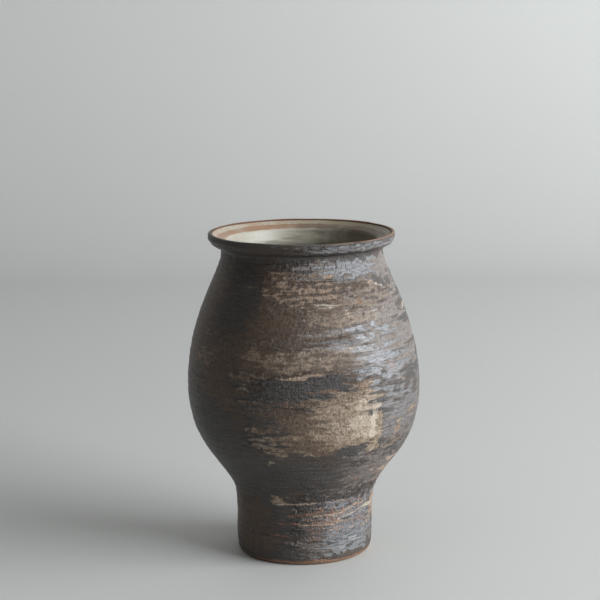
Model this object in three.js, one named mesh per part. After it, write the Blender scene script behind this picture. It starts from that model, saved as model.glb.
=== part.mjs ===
// A stoneware vase built up in rings: a dished base, five wall rings and a rolled lip, luted together
// while the clay is soft, with a glaze lining poured inside. Millimetres, +Z up, origin at the middle of
// the foot, on the surface that the vase stands on.
import * as THREE from "three";

// Overall sizes
const HEIGHT = 260; // foot to crest of the lip
const BELLY_RADIUS = 93.2;
const BELLY_HEIGHT = 138; // of the widest place above the foot
const WALL = 5.4; // thickness of the clay, square to its face

// Foot
const FOOT_RADIUS = 53.9; // just above the rounded standing edge
const FOOT_TOP_RADIUS = 56.3;
const FOOT_HEIGHT = 52; // where the foot turns out into the belly
const FOOT_ROUND = 4.8; // rounding of the standing edge
const STANDING_RING = 7; // width of the flat ring that touches the table
const RECESS = 2; // depth turned out under the base
const FLOOR = 9; // table to the clay's upper face
const FLOOR_FILLET = 7; // rounding between floor and wall, inside

// Neck and lip
const NECK_RADIUS = 64.4; // outside, in the groove under the lip
const NECK_RING = 14; // height of the ring below that groove
const LIP_HEIGHT = 16; // groove to crest
const LIP_OVERHANG = 9.9; // neck to the lip's outer face
const LIP_COVE = { upright: 1.4, height: 5.6, width: 3.8, slope: 0.5 }; // tight hollow under the lip
const LIP_ROLL = { width: 4.1, slope: 1.1 }; // from the hollow out to the swell of the lip
const LIP_FACE = { height: 2, round: 1.8 }; // upright outer face, and the round above it
const CREST = { setback: 1.6, width: 0.9 }; // outer face to the top of the crest, and the crest itself
const SEAT = { width: 5.2, drop: 3.2 }; // sloping seat inside the lip
const LEDGE = { width: 5.2, drop: 1.9 }; // flatter ledge between the seat and the throat

// How full each curve is: how far its handles reach from the foot, the foot's top, the belly and the neck
const FOOT_SWELL = { out: 2.4, up: 17.2 };
const FOOT_WAIST = { back: 3.5, down: 22 };
const FOOT_FLARE = { out: 7.5, up: 23.2 };
const BELLY_BELOW = 50;
const BELLY_ABOVE = 54;
const NECK_BELOW = 14.2;

// Each joint is a tongue in a groove, with a layer of slip between them
const SLIP_LAYER = 0.5;
const TONGUE = { depth: 2.2, width: 3 };

// Glaze lining
const GLAZE = 0.8;
const GLAZE_GAP = 0.3; // clay to glaze
const GLAZE_EDGE = 0.5; // upper end of the seat to the glaze's edge

// Heights of the joints between the rings
const BASE_LANDING = 2; // wall that the base carries above its fillet
const BASE_JOINT = FLOOR + FLOOR_FILLET + BASE_LANDING;
const LOWER_JOINT = 100;
const MIDDLE_JOINT = 152;
const GROOVE = HEIGHT - LIP_HEIGHT;
const COLLAR_JOINT = GROOVE - NECK_RING;
const RINGS = [
  { name: "foot_wall", bottom: BASE_JOINT, top: FOOT_HEIGHT },
  { name: "lower_belly", bottom: FOOT_HEIGHT, top: LOWER_JOINT },
  { name: "middle_belly", bottom: LOWER_JOINT, top: MIDDLE_JOINT },
  { name: "shoulder", bottom: MIDDLE_JOINT, top: COLLAR_JOINT },
  { name: "neck_collar", bottom: COLLAR_JOINT, top: GROOVE },
];

const AROUND = 48; // facets round the vase
const RISE = 13; // longest step up a wall
const ROUND_STEPS = 3;

const slipped = new THREE.MeshStandardMaterial({ color: 0x3b3734, roughness: 0.5, metalness: 0.15 });
const bare = new THREE.MeshStandardMaterial({ color: 0x7a4a30, roughness: 0.85, metalness: 0 });
const glazed = new THREE.MeshStandardMaterial({ color: 0xbcb6a2, roughness: 0.2, metalness: 0 });

const point = (radius, height) => new THREE.Vector2(radius, height);

// The outside below the groove, as curves of radius (x) against height (y)
const footCurve = new THREE.CubicBezierCurve(
  point(FOOT_RADIUS, FOOT_ROUND),
  point(FOOT_RADIUS + FOOT_SWELL.out, FOOT_ROUND + FOOT_SWELL.up),
  point(FOOT_TOP_RADIUS - FOOT_WAIST.back, FOOT_HEIGHT - FOOT_WAIST.down),
  point(FOOT_TOP_RADIUS, FOOT_HEIGHT),
);
const lowerCurve = new THREE.CubicBezierCurve(
  point(FOOT_TOP_RADIUS, FOOT_HEIGHT),
  point(FOOT_TOP_RADIUS + FOOT_FLARE.out, FOOT_HEIGHT + FOOT_FLARE.up),
  point(BELLY_RADIUS, BELLY_HEIGHT - BELLY_BELOW),
  point(BELLY_RADIUS, BELLY_HEIGHT),
);
const upperCurve = new THREE.CubicBezierCurve(
  point(BELLY_RADIUS, BELLY_HEIGHT),
  point(BELLY_RADIUS, BELLY_HEIGHT + BELLY_ABOVE),
  point(NECK_RADIUS, GROOVE - NECK_BELOW),
  point(NECK_RADIUS, GROOVE),
);

// Outer radius at a height, by halving the curve's parameter until it meets that height
function radiusAt(height) {
  const curve = height < FOOT_HEIGHT ? footCurve : height < BELLY_HEIGHT ? lowerCurve : upperCurve;
  let low = 0;
  let high = 1;
  for (let i = 0; i < 30; i++) {
    const middle = (low + high) / 2;
    if (curve.getPoint(middle).y < height) low = middle;
    else high = middle;
  }
  return curve.getPoint(low).x;
}

// Radius of the face that lies `depth` inside the outer one, measured square to it
function radiusInside(height, depth) {
  const reach = 1;
  const slope = (radiusAt(height + reach) - radiusAt(height - reach)) / (2 * reach);
  return radiusAt(height) - depth * Math.hypot(1, slope);
}

// A ring's face `depth` inside the outer one, from its lower joint up, short of the slip at both ends
function wallFace({ bottom, top }, depth) {
  const low = bottom + SLIP_LAYER / 2;
  const rise = top - bottom - SLIP_LAYER;
  const steps = Math.ceil(rise / RISE);
  return Array.from({ length: steps + 1 }, (_, i) => {
    const height = low + (rise * i) / steps;
    return point(radiusInside(height, depth), height);
  });
}

// The tongue's or the groove's outline, outside to inside, above (+1) or below (-1) the slip in a joint
function joint(height, side) {
  const level = height + (side * SLIP_LAYER) / 2;
  const middle = radiusInside(height, WALL / 2);
  return [
    point(middle + TONGUE.width / 2, level),
    point(middle, level - TONGUE.depth),
    point(middle - TONGUE.width / 2, level),
  ];
}

// Turns an outline about the vertical axis: one that runs up the outside and down the inside
function turned(name, outline, material) {
  const closed = outline[0].x === 0 ? outline : [...outline, outline[0].clone()];
  const geometry = new THREE.LatheGeometry(closed, AROUND).rotateX(Math.PI / 2);
  const mesh = new THREE.Mesh(geometry, material);
  mesh.name = name;
  return mesh;
}

// A wall ring between two joints, with a tongue below and a groove above
function wallRing(ring) {
  const outline = [
    ...wallFace(ring, 0),
    ...joint(ring.top, -1),
    ...wallFace(ring, WALL).reverse(),
    ...joint(ring.bottom, 1).reverse(),
  ];
  return turned(ring.name, outline, slipped);
}

// A quarter circle in equal steps, between two of its angles
function arc(centre, radius, from, to) {
  return Array.from({ length: ROUND_STEPS + 1 }, (_, i) => {
    const angle = from + ((to - from) * i) / ROUND_STEPS;
    return point(centre.x + radius * Math.cos(angle), centre.y + radius * Math.sin(angle));
  });
}

// The base's inner face, from the middle of the floor up to the joint
function floorFace() {
  const height = FLOOR + FLOOR_FILLET;
  const top = BASE_JOINT - SLIP_LAYER / 2;
  const centre = point(radiusInside(height, WALL) - FLOOR_FILLET, height);
  return [
    point(0, FLOOR),
    ...arc(centre, FLOOR_FILLET, -Math.PI / 2, 0),
    point(radiusInside(top, WALL), top),
  ];
}

// The dished base: recess, standing ring, rounded edge, a stub of the wall with a groove in it, and the floor
function base() {
  const ringOutside = FOOT_RADIUS - FOOT_ROUND;
  const ringInside = ringOutside - STANDING_RING;
  const top = BASE_JOINT - SLIP_LAYER / 2;
  const outline = [
    point(0, RECESS),
    point(ringInside - RECESS, RECESS),
    point(ringInside, 0),
    ...arc(point(ringOutside, FOOT_ROUND), FOOT_ROUND, -Math.PI / 2, 0),
    point(radiusAt((FOOT_ROUND + top) / 2), (FOOT_ROUND + top) / 2),
    point(radiusAt(top), top),
    ...joint(BASE_JOINT, -1),
    ...floorFace().reverse(),
  ];
  return turned("base_dish", outline, bare);
}

// Inside of the lip: a seat, lower than the crest by the glaze that fills it, a ledge, and its arris
const lipRadius = NECK_RADIUS + LIP_OVERHANG;
const crest = point(lipRadius - CREST.setback, HEIGHT);
const seatTop = point(crest.x - CREST.width, HEIGHT - GLAZE - 2 * GLAZE_GAP);
const seatEnd = point(seatTop.x - SEAT.width, seatTop.y - SEAT.drop);
const arris = point(seatEnd.x - LEDGE.width, seatEnd.y - LEDGE.drop);

// The rolled lip: a tight hollow, a swell that turns into an upright face, a narrow crest and the seat
function lip() {
  const foot = GROOVE + SLIP_LAYER / 2;
  const faceTop = HEIGHT - LIP_FACE.round;
  const hollow = point(NECK_RADIUS + LIP_COVE.width, foot + LIP_COVE.height);
  const roll = point(hollow.x + LIP_ROLL.width, hollow.y + LIP_ROLL.slope);
  const outside = new THREE.Path().moveTo(NECK_RADIUS, foot);
  outside.lineTo(NECK_RADIUS, foot + LIP_COVE.upright);
  outside.quadraticCurveTo(NECK_RADIUS, hollow.y - LIP_COVE.slope, hollow.x, hollow.y);
  outside.quadraticCurveTo(roll.x, roll.y, lipRadius, faceTop - LIP_FACE.height);
  outside.lineTo(lipRadius, faceTop);
  outside.quadraticCurveTo(lipRadius, HEIGHT, crest.x, crest.y);
  const outline = [
    ...outside.getPoints(ROUND_STEPS),
    point(seatTop.x, HEIGHT - GLAZE_GAP),
    seatTop,
    seatEnd,
    arris,
    point(radiusInside(foot, WALL), foot),
    ...joint(GROOVE, 1).reverse(),
  ];
  return turned("rim_lip", outline, slipped);
}

// Moves an open outline square to itself by `distance`, to its left as it is drawn
function offset(outline, distance) {
  const normals = outline.slice(1).map((end, i) => {
    const along = end.clone().sub(outline[i]).normalize();
    return point(-along.y, along.x);
  });
  return outline.map((here, i) => {
    const before = normals[Math.max(i - 1, 0)];
    const after = normals[Math.min(i, normals.length - 1)];
    const reach = distance / (1 + before.dot(after));
    return here.clone().addScaledVector(before, reach).addScaledVector(after, reach);
  });
}

// The glaze lining: a thin cup that follows the clay's inner face from the floor to the crest
function lining() {
  const walls = RINGS.flatMap((ring) => wallFace(ring, WALL).slice(0, -1));
  const along = seatTop.clone().sub(seatEnd).normalize();
  const clay = [
    ...floorFace().slice(0, -1),
    ...walls,
    point(radiusInside(GROOVE, WALL), GROOVE),
    arris,
    seatEnd,
    seatTop.clone().addScaledVector(along, -GLAZE_EDGE),
  ];
  const outline = [...offset(clay, GLAZE_GAP), ...offset(clay, GLAZE_GAP + GLAZE).reverse()];
  return turned("glaze_lining", outline, glazed);
}

const vase = new THREE.Group();
vase.add(base(), ...RINGS.map(wallRing), lip(), lining());

export default vase;
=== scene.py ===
"""A hand-built stoneware vase: seven clay rings under one brushed slip, and a poured glaze lining."""
import functools
import math
from collections import namedtuple

import bpy
import numpy as np
from mathutils import Matrix, Vector


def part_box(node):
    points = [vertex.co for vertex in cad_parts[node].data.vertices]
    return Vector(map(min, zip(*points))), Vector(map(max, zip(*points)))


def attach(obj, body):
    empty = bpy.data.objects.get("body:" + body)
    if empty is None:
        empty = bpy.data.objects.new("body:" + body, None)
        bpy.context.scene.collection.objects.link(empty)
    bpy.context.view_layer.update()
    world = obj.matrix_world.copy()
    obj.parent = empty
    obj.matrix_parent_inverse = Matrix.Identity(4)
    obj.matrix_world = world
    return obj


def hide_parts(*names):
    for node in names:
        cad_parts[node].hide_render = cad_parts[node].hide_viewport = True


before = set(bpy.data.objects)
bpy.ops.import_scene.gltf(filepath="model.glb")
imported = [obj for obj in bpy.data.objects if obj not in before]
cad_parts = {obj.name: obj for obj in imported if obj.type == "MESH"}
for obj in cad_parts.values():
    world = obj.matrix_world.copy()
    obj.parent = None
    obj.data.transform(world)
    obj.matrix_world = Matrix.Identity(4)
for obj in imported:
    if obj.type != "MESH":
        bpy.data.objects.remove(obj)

bl_info = {
    "name": "Stoneware Vase",
    "version": (1, 0, 0),
    "blender": (4, 5, 0),
    "location": "View3D > Sidebar > Vase",
    "description": "Builds a slip-brushed stoneware vase from its rings, lip and glaze lining",
    "category": "Add Mesh",
}

MM = 0.001
DEGREE = math.pi / 180

# ---- Heights and radii that the packed model fixes ----

WALL_RINGS = ("foot_wall", "lower_belly", "middle_belly", "shoulder", "neck_collar")
SLIP_LAYER = 0.5 * MM  # left empty in each joint of the packed model


def top_of(node):
    """Height of a node's highest point."""
    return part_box(node)[1][2]


def reach_of(node):
    """Radius of a node's widest point."""
    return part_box(node)[1][0]


def joint_above(node):
    """Height of the middle of the joint on top of a ring."""
    return top_of(node) + SLIP_LAYER / 2


# ---- Sizes and colours ----


def length(name, default, description):
    """A length property, in metres."""
    return bpy.props.FloatProperty(
        name=name, default=default, description=description, min=0.0, unit="LENGTH", precision=5
    )


def share(name, default, description):
    """A property from 0 to 1."""
    return bpy.props.FloatProperty(
        name=name, default=default, description=description, min=0.0, max=1.0, subtype="FACTOR"
    )


def colour(name, default, description):
    """A colour property."""
    return bpy.props.FloatVectorProperty(
        name=name, default=default, description=description, min=0.0, max=1.0, size=3, subtype="COLOR"
    )


def watts(name, default, description):
    """The power of a light, in watts."""
    return bpy.props.FloatProperty(
        name=name, default=default, description=description, min=0.0, subtype="POWER"
    )


class VaseSizes(bpy.types.PropertyGroup):
    """The vase's outline."""

    height: length("Height", top_of("rim_lip"), "Foot to the crest of the lip")
    belly_radius: length("Belly radius", reach_of("middle_belly"), "Radius at the widest place")
    belly_height: length("Belly height", 138 * MM, "Height of the widest place")
    wall: length("Wall", 5.4 * MM, "Thickness of the clay, square to its face")
    foot_radius: length("Foot radius", 53.9 * MM, "Radius just above the rounded standing edge")
    foot_top_radius: length("Foot top radius", 56.3 * MM, "Radius at the corner below the belly")
    foot_height: length("Foot height", joint_above("foot_wall"), "Height of the corner below the belly")
    foot_round: length("Foot rounding", 4.8 * MM, "Rounding of the standing edge")
    standing_ring: length("Standing ring", 7 * MM, "Width of the flat ring that touches the table")
    recess: length("Recess", 2 * MM, "Depth turned out under the base")
    floor: length("Floor", 9 * MM, "Table to the upper face of the clay")
    floor_fillet: length("Floor fillet", 7 * MM, "Rounding between floor and wall, inside")
    neck_radius: length("Neck radius", 64.4 * MM, "Radius in the groove under the lip")
    lip_radius: length("Lip radius", reach_of("rim_lip"), "Radius of the lip's outer face")
    glaze: length("Glaze", 0.8 * MM, "Thickness of the glaze lining")
    glaze_gap: length("Glaze gap", 0.3 * MM, "Clay to glaze")


class VaseSurface(bpy.types.PropertyGroup):
    """How rough the clay is."""

    unevenness: length("Unevenness", 0.22 * MM, "Slow swell and hollow of the wall")
    ridges: length("Ridges", 0.06 * MM, "Height of the ridges that run all round")
    brush: length("Brush lines", 0.1 * MM, "Height of the lines that the slip brush leaves")
    grain: length("Grain", 0.05 * MM, "Height of the coarse grain")
    pits: length("Pits", 0.8 * MM, "Depth of the pits left by coarse sand")
    lumps: length("Lumps", 0.5 * MM, "Height of the crumbs in the rough bands")
    nicks: length("Nicks", 0.45 * MM, "Height of the upright nicks under the lip")
    ledge: length("Ledge", 0.6 * MM, "Step at the lower edge of the upper brown patch")
    marks: length("Marks", 0.12 * MM, "How far the pale patches stand proud of the slip")


class VaseColours(bpy.types.PropertyGroup):
    """Colours of the slip, the clay and the glaze."""

    slip_dark: colour("Slip, thick", (0.0215, 0.0165, 0.0138), "Thick graphite slip")
    slip_grey: colour("Slip, thin", (0.060, 0.051, 0.047), "Thin graphite slip")
    # Painted highlight: this light grey stands where the window's reflection falls, on the right of the
    # belly, the foot, the collar and the lip; the burnish itself is the metallic and lower roughness there.
    graphite: colour("Graphite", (0.220, 0.220, 0.228), "Burnished slip, where it shines")
    # Painted light: this pinkish grey lightens the wall on its lit right side and the lip's lit face, and
    # also colours the light specks of the slip.
    painted_light_grey: colour("Haze", (0.225, 0.208, 0.205), "Pinkish grey, where thin slip lies over pale clay")
    wash: colour("Brown wash", (0.062, 0.035, 0.020), "Iron-brown wash between the slip and the clay")
    umber: colour("Umber clay", (0.130, 0.082, 0.050), "Darker places in the buff clay")
    buff: colour("Buff clay", (0.30, 0.225, 0.158), "Clay that shows where the slip is thin")
    sand: colour("Sandy clay", (0.42, 0.29, 0.205), "Thin pinkish streaks of the brush")
    cream: colour("Cream", (0.50, 0.43, 0.345), "Palest clay, where the brush was dry")
    iron: colour("Iron", (0.27, 0.115, 0.052), "Orange-brown flashes")
    bare: colour("Bare clay", (0.30, 0.150, 0.080), "Unslipped clay on the standing edge")
    # The lining's colours also paint light and shade: cream on the lit left of the inside, olive, tan and
    # darker brown on the shaded right.
    glaze_cream: colour("Glaze, cream", (0.46, 0.43, 0.355), "Lining glaze where it is thick")
    glaze_green: colour("Glaze, olive", (0.13, 0.12, 0.078), "Lining glaze in its darker streaks")
    glaze_tan: colour("Glaze, tan", (0.40, 0.33, 0.22), "Lining glaze on the far side of the seat")
    glaze_break: colour("Glaze, thin", (0.34, 0.175, 0.095), "Brown where the glaze breaks over an edge")


class VaseStage(bpy.types.PropertyGroup):
    """Floor, backdrop and lights."""

    floor_colour: colour("Floor", (0.66, 0.66, 0.64), "Pale floor and backdrop")
    window: watts("Window", 122.0, "Power of the window light")
    side_fill: watts("Side fill", 4.0, "Power of the light behind")
    ceiling: watts("Ceiling", 8.5, "Power of the light overhead")
    ambient: share("Ambient", 0.11, "Brightness of the room")


# ---- The outline ----


def bezier(points, steps):
    """Points of a cubic or quadratic Bezier curve: each weighted by its Bernstein polynomial."""
    t = np.linspace(0.0, 1.0, steps)[:, None]
    degree = len(points) - 1
    total = np.zeros((steps, 2))
    for k, point in enumerate(points):
        total += math.comb(degree, k) * t**k * (1 - t) ** (degree - k) * np.array(point)
    return total


def outer_outline(sizes):
    """Outer face from the standing edge to the neck's groove, as three Bezier curves end to end."""
    groove = joint_above("neck_collar")
    foot = (sizes.foot_radius, sizes.foot_round)
    corner = (sizes.foot_top_radius, sizes.foot_height)
    belly = (sizes.belly_radius, sizes.belly_height)
    neck = (sizes.neck_radius, groove)
    curves = (
        (foot, shifted(foot, 2.4, 17.2), shifted(corner, -3.5, -22), corner),
        (corner, shifted(corner, 7.5, 23.2), shifted(belly, 0, -50), belly),
        (belly, shifted(belly, 0, 54), shifted(neck, 0, -14.2), neck),
    )
    return np.concatenate([bezier(curve, 200) for curve in curves])


def shifted(point, out, up):
    """A point moved by millimetres out and up."""
    return (point[0] + out * MM, point[1] + up * MM)


def outer_radius(sizes, heights):
    """Radius of the outer face at each height: the outline, read across."""
    outline = outer_outline(sizes)
    return np.interp(heights, outline[:, 1], outline[:, 0])


def outer_slope(sizes, heights):
    """How fast the outer radius grows with height, over a millimetre each way."""
    reach = 1 * MM
    return (outer_radius(sizes, heights + reach) - outer_radius(sizes, heights - reach)) / (2 * reach)


def inner_radius(sizes, heights, depth):
    """Radius of the face that lies `depth` inside the outer one, measured square to it."""
    return outer_radius(sizes, heights) - depth * np.hypot(1.0, outer_slope(sizes, heights))


def outward(sizes, heights):
    """Unit normals of the outer face: across 1, down by the slope, scaled to length 1."""
    slope = outer_slope(sizes, heights)
    return np.stack([np.ones_like(slope), -slope], axis=1) / np.hypot(1.0, slope)[:, None]


# How far the clay stands off the axis, to the right, at some heights, both in millimetres
OFF_AXIS_HEIGHTS = (0, 30, 60, 88, 115, 140, 178, 240, 257)
OFF_AXIS = (-0.15, 0.1, 0.8, 1.1, 0.55, 0.15, -0.35, 0.05, -0.55)


def off_axis(heights):
    """Sideways offset of the wall at each height, by straight lines between those given."""
    return np.interp(heights, np.array(OFF_AXIS_HEIGHTS) * MM, np.array(OFF_AXIS) * MM)


# ---- The skin: everything that varies over the unrolled wall, on one grid of angle and height ----

COLUMNS = 800
SKIN_STEP = 0.35 * MM
SKIN_LOW = -4 * MM
SKIN_HIGH = 280 * MM
SKIN_ROWS = int(round((SKIN_HIGH - SKIN_LOW) / SKIN_STEP)) + 1

# Angles run from the back (-180 degrees) round the front (0) to the back again, rightwards
ANGLES = np.arange(COLUMNS) * 360.0 / COLUMNS - 180.0
LEVELS = SKIN_LOW + np.arange(SKIN_ROWS) * SKIN_STEP


def smooth(low, high, value):
    """0 below `low`, 1 above `high`, and an S curve between them."""
    x = np.clip((value - low) / (high - low), 0.0, 1.0)
    return x * x * (3 - 2 * x)


def unevenness(seed, along, across):
    """Random unevenness with unit spread: white noise blurred by a Gaussian of `along` millimetres round
    the vase and `across` millimetres up it. It closes on itself at the back."""
    noise = np.random.default_rng(seed).standard_normal((SKIN_ROWS, COLUMNS))
    column_width = 2 * math.pi * reach_of("middle_belly") / COLUMNS
    turn = np.fft.rfftfreq(COLUMNS, column_width)[None, :] * along * MM
    climb = np.fft.fftfreq(SKIN_ROWS, SKIN_STEP)[:, None] * across * MM
    kept = np.exp(-2 * math.pi**2 * (turn**2 + climb**2))
    blurred = np.fft.irfft2(np.fft.rfft2(noise) * kept, noise.shape)
    return blurred / blurred.std()


# A mark left by the brush or the hand, or a patch of painted light, painted highlight or painted shade.
# Angles in degrees, heights in millimetres. `strength` is how well it covers, `dry` how much the brush lines
# break it up,
# `climb` how far it rises for each degree to the right, and `ends` and `edge` how far its ends and its edges
# fade, in degrees and in millimetres.
Mark = namedtuple("Mark", "kind left right low high strength dry climb ends edge")


def mark(kind, left, right, low, high, strength, dry=0.3, climb=0.0, ends=4.0, edge=None):
    """A mark whose edges, unless told otherwise, fade over about a quarter of its height."""
    if edge is None:
        edge = min(2.2, 0.25 * (high - low) + 0.2)
    return Mark(kind, left, right, low, high, strength, dry, climb, ends, edge)


# The marks of each part of the wall, by kind. The numbers of a row are a Mark's, from `left` to `edge`.
WASHES_AND_PAINTED_LIGHT = {
    # Painted light: a pinkish grey over the right of the wall and the lip's face, where the window light
    # falls.
    "painted_light_grey": (
        (6, 96, 150, 236, 0.7, 0.35, 0, 18, 12),
        (24, 66, 150, 200, 0.85, 0.2, 0, 10, 10),
        (-8, 100, 229, 246, 0.95, 0.15, 0, 14, 3),
        (28, 110, 92, 150, 0.45, 0.2, 0, 12, 12),
        (-8, 110, 56, 98, 0.55, 0.3, 0, 24, 10),
        (-12, 96, 4, 56, 0.5, 0.3, 0.05, 14, 6),
        (2, 96, 255, 262.5, 0.75, 0.3, 0, 14, 2),
    ),
    # Burnished slip with a painted highlight: lighter in colour where the window's reflection falls, and
    # shinier there too.
    "burnish_and_painted_sheen": (
        (20, 62, 142, 200, 0.9, 0, 0, 16, 16),
        (30, 84, 100, 150, 0.45, 0.3, 0, 14, 10),
        (8, 78, 5, 54, 0.95, 0.3, 0.05, 10, 6),
        (8, 62, 231, 246, 0.8, 0.1, 0, 12, 3),
    ),
    "wash": (
        (-108, -50, 150, 244, 0.8, 0.12, 0, 8, 12),
        (-92, -50, 186, 216, 0.9, 0.1, 0, 6, 10),
        (-72, -24, 122, 196, 0.75, 0.15, 0, 10, 10),
        (-34, -24, 190, 214, 0.5, 0.2, 0, 6, 8),
        (-130, -24, 2, 58, 0.7, 0.15, 0, 12, 10),
        (-100, -70, 110, 160, 0.5, 0.15, 0, 8, 8),
        (-42, 44, 158, 206, 0.95, 0.15, 0, 12, 4),
        (20, 66, 192, 232, 0.8, 0.25, 0, 10, 8),
        (10, 44, 140, 170, 0.7, 0.3, 0.1, 10, 6),
        (38, 76, 92, 130, 0.45, 0.4, 0, 8, 6),
    ),
    # Thick dark slip on the left and low on the wall, also darkening those parts that are turned from the
    # light: partly painted shade.
    "slip": (
        (-80, 30, 62, 94, 0.6, 0.1, 0, 14, 8),
        (-84, -34, 92, 142, 0.75, 0.15, 0, 8, 10),
        (-56, -28, 188, 246, 0.6, 0.2, 0, 8, 8),
    ),
}
BELLY_PATCH = {
    "buff": (
        (-29, 40, 103, 121, 0.95, 0.16, 0, 3),
        (-24, 16, 97, 110, 0.85, 0.3, 0, 4),
        (-20, 41, 112, 132, 0.85, 0.14, 0.06, 6),
        (-3, 40, 126, 144, 0.85, 0.18, 0.1, 6),
        (12, 37, 138, 150, 0.75, 0.25, 0.05, 4),
        (25, 36, 147, 159, 0.65, 0.3, 0, 3),
        (33, 41.5, 96, 132, 0.85, 0.1, 0, 1),
        (-22, -13, 88.5, 97, 0.6, 0.55, -0.2, 3),
    ),
    "pale": (
        (6, 32, 106, 128, 0.35, 0.2, 0.1, 8, 6),
        (20, 40, 108, 142, 0.7, 0.15, 0.1, 6, 5),
        (30, 41, 126, 139, 0.7, 0.1, 0, 3, 3),
    ),
    "cream": (
        (33, 37, 108, 134, 0.75, 0.15, 0, 1.2, 3),
        (35, 39.5, 128, 137, 0.5, 0.2, 0, 1.2, 3),
        (34, 39.5, 97, 105, 0.5, 0.35, 0, 2),
        (-21, -16, 90.6, 92.4, 0.6, 0.3, -0.1, 1),
        (-31, -26.5, 116.5, 119.5, 0.55, 0.3, 0.1, 1),
        (-28, -15, 109, 113, 0.4, 0.4, 0, 3),
        (-25, -19, 102, 106, 0.35, 0.45, 0, 2),
        (-14, -4, 97, 99.5, 0.4, 0.4, 0, 2),
    ),
    "umber": (
        (-26, 10, 113, 142, 0.95, 0.15, 0.1, 8, 5),
        (-14, 12, 99, 116, 0.75, 0.3, 0, 8, 4),
        (4, 18, 96, 104, 0.9, 0.05, 0.1, 3, 2),
    ),
    "iron": (
        (-9.5, -6.5, 138, 144, 0.5, 0.3, 0, 1),
    ),
    "slip": (
        (18, 32, 100, 106, 0.95, 0.2, 0.05, 3, 2),
        (-34, -8, 98, 132, 0.75, 0.95, 0, 6, 4),
        (33, 37.5, 106.6, 108.2, 0.95, 0.1, 0, 0.6),
    ),
}
ROUGH_BAND = {
    "slip": (
        (-24, 22, 143, 158.5, 0.95, 0.1, 0.12, 5),
    ),
    "crumbs": (
        (-26, 34, 134, 162, 1, 0, 0.1, 5, 4),
        (-42, 28, 182, 189, 0.8, 0, 0.02, 6, 2),
        (-42, -22, 146, 166, 0.8, 0, 0, 5, 4),
        (-32, -14, 100, 144, 0.7, 0, 0, 4, 5),
    ),
    "buff": (
        (-22, 26, 143, 159, 0.6, 0.9, 0.12, 5),
        (10, 18, 151, 156, 0.6, 0.4, 0, 3),
        (-39, -22, 148, 164, 0.5, 0.7, 0, 4, 4),
        (-34, -14, 134, 146, 0.45, 0.85, 0, 4, 3),
    ),
    "iron": (
        (2, 16, 148.4, 151, 0.55, 0.25, 0.03, 3),
        (24, 35, 150, 158, 0.3, 0.4, 0, 3),
    ),
}
UPPER_BELLY = {
    "buff": (
        (-32, 30, 161, 183, 0.55, 0.35, 0, 10, 6),
        (2, 44, 164, 190, 0.3, 0.4, 0, 10, 6),
        (-30, -22, 174, 178.4, 0.5, 0.4, 0, 2),
    ),
    "pale": (
        (-14, 20, 162, 178, 0.35, 0.25, 0.02, 9, 6),
    ),
    "slip": (
        (-12, 30, 184, 188.5, 0.4, 0.4, 0, 8, 2),
    ),
    # Pale clay along the ledge's edge, lighter as a painted highlight where that edge catches the light.
    "sand": (
        (-20, -9, 159.6, 160.8, 0.6, 0.1, -0.16, 3, 0.5),
        (-11, 0, 158.2, 160.4, 1, 0, 0.03, 3, 0.5),
        (-3, 9, 159.6, 161.5, 1, 0, 0.25, 3, 0.5),
        (6, 16, 160.8, 161.8, 0.6, 0.1, 0.2, 3, 0.5),
    ),
}
SHOULDER = {
    "wash": (
        (-26, 46, 196, 238, 1, 0.05, 0, 0.9, 3),
    ),
    "umber": (
        (-25, 26, 198, 236, 0.65, 0.3, 0, 6, 5),
    ),
    "slip": (
        (-20, 40, 226, 238, 0.35, 0.9, 0, 10, 2),
        (27, 33, 216.5, 219.5, 0.7, 0.3, 0, 1.5),
        (35, 41, 207, 209.5, 0.7, 0.3, 0, 1.5),
        (41, 47, 217.5, 220, 0.6, 0.3, 0, 1.5),
    ),
    "buff": (
        (-26, 26, 209, 238, 0.45, 1, 0, 6, 3),
        (-28, 12, 236.4, 238, 0.8, 0.2, -0.04, 4),
        (-6, 22, 233, 234.6, 0.75, 0.3, -0.03, 4),
        (-20, 2, 227.4, 228.8, 0.6, 0.4, 0, 4),
        (-26, -10, 222, 223.6, 0.7, 0.3, 0, 3),
        (-9, 24, 223.4, 225, 0.8, 0.25, -0.06, 4),
        (-24, 22, 212, 222, 0.55, 0.9, 0, 6),
        (1, 46, 196, 214, 0.5, 0.35, 0, 1.2, 3),
        (20, 66, 200, 230, 0.5, 0.6, 0, 10, 6),
    ),
    "sand": (
        (-24, 26, 211, 237, 0.5, 1.7, -0.03, 8, 3),
        (-22, 9, 230.8, 232.4, 0.6, 0.35, 0, 4),
        (-47, -27, 224, 225, 0.5, 0.3, 0.03, 4),
        (42, 54, 225, 228, 0.7, 0.3, 0, 3),
    ),
    "cream": (
        (-14, -4, 216.6, 218.2, 0.75, 0.3, -0.12, 2),
        (2, 9, 214, 215.4, 0.8, 0.25, -0.06, 2),
        (7, 21, 213.1, 214.7, 0.85, 0.2, -0.05, 2.5),
        (9, 21, 210.9, 212.3, 0.75, 0.25, -0.04, 2),
        (-3, 3, 211.2, 212.6, 0.6, 0.3, -0.04, 1),
        (18, 34, 205.7, 206.9, 0.6, 0.3, -0.03, 4),
        (50, 61, 223.4, 226.4, 0.8, 0.2, -0.35, 2, 0.7),
        (65, 92, 198, 206, 0.75, 0.35, 0, 4),
    ),
    "iron": (
        (33, 38, 212, 218, 0.5, 0.3, 0, 1.5),
        (30, 36, 223, 226, 0.45, 0.4, 0, 1.5),
        (21, 25, 208, 211, 0.4, 0.4, 0, 1.5),
    ),
    "nicks": (
        (-16, 46, 237.5, 247, 1, 0, 0, 8, 2),
    ),
    "crumbs": (
        (-26, 60, 205, 246, 0.6, 0, 0, 10, 4),
    ),
}
LEFT_SIDE = {
    "buff": (
        (-67, -48, 162, 179, 0.65, 0.6, 0, 5, 4),
        (-68, -52, 178, 194, 0.5, 0.7, 0, 5, 4),
    ),
}
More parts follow.
